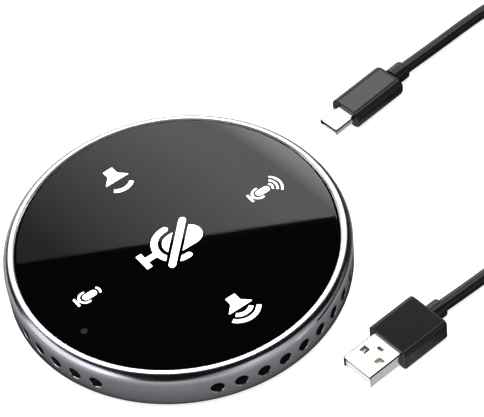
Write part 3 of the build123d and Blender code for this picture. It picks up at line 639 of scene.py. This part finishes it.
def lay_cord():
    points = np.array(cord_route()) * MM
    data = bpy.data.curves.new("usb_cord", "CURVE")
    data.dimensions = "3D"
    data.bevel_depth = 2.1 * MM
    data.bevel_resolution = 5
    data.resolution_u = 6
    data.use_fill_caps = True
    spline = data.splines.new("NURBS")
    spline.points.add(len(points) - 1)
    spline.points.foreach_set("co", np.column_stack([points, np.ones(len(points))]).ravel())
    spline.order_u = 3
    spline.use_endpoint_u = True
    cord = bpy.data.objects.new("usb_cord", data)
    stage.collection.objects.link(cord)
    dress(cord, "cord_jacket")
    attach(cord, "usb_cable")
    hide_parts("cord_usb_c_end", "cord_usb_a_end", "cord_coil")
    return cord


cord = lay_cord()


# ---------------------------------------------------------------- floor and light
toward = Matrix.Rotation(azimuth, 3, "Z")


def staged(x, y, z):
    """A place given as seen from the camera's side: x to its right, y away from it."""
    return toward @ Vector((x, y, z))


def set_up(name, corners, faces, material, hidden_from=()):
    """A piece of the studio; hidden_from names the kinds of ray that pass it by."""
    data = bpy.data.meshes.new(name)
    data.from_pydata(corners, [], faces)
    data.materials.append(material)
    panel = bpy.data.objects.new(name, data)
    for kind in hidden_from:
        setattr(panel, "visible_" + kind, False)
    stage.collection.objects.link(panel)
    return panel


def lay_floor():
    """Wide pale paper, faintly lit from below so that shadows on it stay light. Gloss doesn't
    mirror it, but a second sheet that dims towards the object's foot, and on the plugs' side;
    that dimming is painted shade: a painted contact shadow round the foot, and a painted dark
    patch beside the plugs, which only mirrors show."""
    paper = Finish("floor_paper", Roughness=0.9, Specular_IOR_Level=0.0, Emission_Strength=0.84)
    tone = paper.blend(paper.noise(3), shade(0.98), shade(1.0))
    paper.set(Base_Color=shade(0.35), Emission_Color=tone)
    reach, low, apart = 4.0, 0.00005, 0.0005
    square = np.array([(-1, -1), (1, -1), (1, 1), (-1, 1)]) * reach
    corners = np.column_stack([square, np.full(4, -low)])
    set_up("floor", corners.tolist(), [(0, 1, 2, 3)], paper.material, ("glossy",))
    black = shade(0.0)
    mirrored = Finish("mirrored_floor", Base_Color=black, Roughness=1.0, Emission_Strength=floor_light)
    out = mirrored.node("ShaderNodeVectorMath", {"operation": "LENGTH"}, {0: mirrored.place()}, 1)
    # painted shade: the sheet's light falls away to nothing towards the object's foot, a painted contact
    # shadow that gloss mirrors
    tone = mirrored.remap(out, 0.055, 0.064, 0.0, 0.4) + mirrored.remap(out, 0.064, 0.115, 0.0, 0.4)
    foot = mirrored.remap(out, 0.0545, 0.056, 0.0, 0.2)
    # painted shade: the sheet is dimmed to the right of the disc, towards the plugs, so their sides and the
    # cord mirror dark
    to_right = mirrored.along(mirrored.place(), staged(1, 0, 0))
    away = mirrored.along(mirrored.place(), staged(0, 1, 0))
    painted_shade_beside = mirrored.remap(to_right, 0.068, 0.08, 0.0, 0.9)
    painted_shade_beyond = mirrored.remap(away, -0.075, -0.06, 0.0, 1.0)
    tone = (tone + foot) * (1 - painted_shade_beside * painted_shade_beyond)
    mirrored.set(Emission_Color=mirrored.blend(tone, black, shade(1.0)))
    hidden = ("camera", "diffuse", "shadow", "transmission")
    set_up("mirrored_floor", (corners - (0, 0, apart)).tolist(), [(0, 1, 2, 3)], mirrored.material, hidden)


def hang_backdrop():
    """A pale round wall far behind everything; it neither lights nor mirrors."""
    paper = Finish("backdrop_paper", Base_Color=(0.0, 0.0, 0.0), Emission_Strength=1.0)
    paper.set(Emission_Color=paper.blend(paper.noise(1), shade(0.99), shade(1.0)))
    radius, rise, sides = 3.9, 6.0, 48
    turns = 2 * np.pi * np.arange(sides) / sides
    low = np.column_stack([radius * np.cos(turns), radius * np.sin(turns), np.full(sides, -0.01)])
    high = low + (0, 0, rise)
    faces = [(i, sides + i, sides + (i + 1) % sides, (i + 1) % sides) for i in range(sides)]
    faces.append(tuple(range(sides, 2 * sides)))
    hidden = ("glossy", "diffuse", "shadow", "transmission")
    set_up("backdrop", np.vstack([low, high]).tolist(), faces, paper.material, hidden)


def hang_card():
    """A grey card that the far half of the glass mirrors; its near edge stands on the
    mirrored sight line through the glass's centre, and it brightens to the right and away."""
    glow = Finish("card_glow", Base_Color=(0.0, 0.0, 0.0), Roughness=1.0, Emission_Strength=6.0)
    lean_away = 0.7
    side = glow.along(glow.place(), staged(1, lean_away, 0))
    start = card_reach * lean_away
    over_glass = glow.remap(side, start - 0.06, start + 0.06, 0.062, 0.345)
    over_plug = glow.remap(side, start + 0.085, start + 0.105, 0.0, 0.5)
    glow.set(Emission_Color=glow.blend(over_glass + over_plug, shade(0.0), shade(1.0)))
    left, right, deep = -0.12, 0.16, 0.2
    corners = [
        staged(left, card_reach + 0.001, card_z),
        staged(right, card_reach - 0.001, card_z),
        staged(right, card_reach + deep, card_z),
        staged(left, card_reach + deep, card_z),
    ]
    set_up("grey_card", corners, [(0, 1, 2, 3)], glow.material, ("camera", "diffuse", "shadow"))


card_rise = 0.40
card_z = glass_z + card_rise
card_reach = card_rise / math.tan(elevation)


def lamp(name, spot, size, power):
    """A soft light that is seen by no mirror, aimed at the object."""
    data = bpy.data.lights.new(name, "AREA")
    data.shape = "RECTANGLE"
    data.size = data.size_y = size
    data.energy = power
    holder = bpy.data.objects.new(name, data)
    turn = (-Vector(spot)).to_track_quat("-Z", "Y").to_matrix().to_4x4()
    holder.matrix_world = Matrix.Translation(spot) @ turn
    holder.visible_camera = holder.visible_glossy = False
    stage.collection.objects.link(holder)


def light_the_sky():
    """A dark tent with one bright ring, centred on the mirrored sight line, which the sloping
    trim mirrors all the way round; and on the camera's side a bank of soft boxes that stand on
    the horizon, tall at the left and right and low between, for the wall."""
    world = bpy.data.worlds.new("studio")
    world.use_nodes = True
    sky = Nodes(world.node_tree)
    way = sky.node("ShaderNodeTexCoord")
    axis = staged(0, math.cos(elevation), math.sin(elevation))
    near_axis = sky.along(way, axis)
    outer = sky.remap(near_axis, math.cos(math.radians(45)), math.cos(math.radians(41)), 0.0, 1.0)
    inner = sky.remap(near_axis, math.cos(math.radians(29)), math.cos(math.radians(25)), 1.0, 0.0)
    height = sky.along(way, (0.0, 0.0, 1.0))
    to_left = sky.along(way, staged(-1, 0, 0))
    across = sky.remap(to_left, -1.0, 1.0, 0.0, 1.0)
    top = sky.node("ShaderNodeValToRGB", {"stops": [(u, shade(v)) for u, v in box_tops]}, {0: across})
    glow = sky.node("ShaderNodeValToRGB", {"stops": [(u, shade(v)) for u, v in box_glows]}, {0: across})
    near = sky.along(way, staged(0, -1, 0))
    below_top = sky.remap(height - top, -0.06, 0.06, 1.0, 0.0)
    boxes = below_top * sky.remap(near, -0.3, -0.2, 0.0, 1.0)
    light = outer * inner * ring_light + boxes * glow * box_light + sky_light
    background = world.node_tree.nodes["Background"]
    world.node_tree.links.new(light.socket, background.inputs["Color"])
    stage.world = world


ring_light = 3.0
sky_light = 0.003
box_light = 2.15
floor_light = 0.7
# from right to left: how high the soft boxes reach, and how bright they are, as (place, value)
box_tops = [(0.0, 0.1), (0.08, 0.4), (0.25, 0.55), (0.4, 0.52), (0.53, 0.22), (0.62, 0.1), (0.76, 0.08)]
box_tops += [(0.84, 0.6), (1.0, 0.6)]
box_glows = [(0.0, 0.2), (0.08, 0.25), (0.25, 0.5), (0.4, 0.2), (0.6, 0.18), (0.76, 0.2), (0.86, 1.0)]
box_glows += [(0.97, 0.7)]

lay_floor()
hang_backdrop()
hang_card()
light_the_sky()
lamp("overhead", staged(0, 0.05, 1.3), 1.2, 46)
stage.view_settings.view_transform = "Standard"
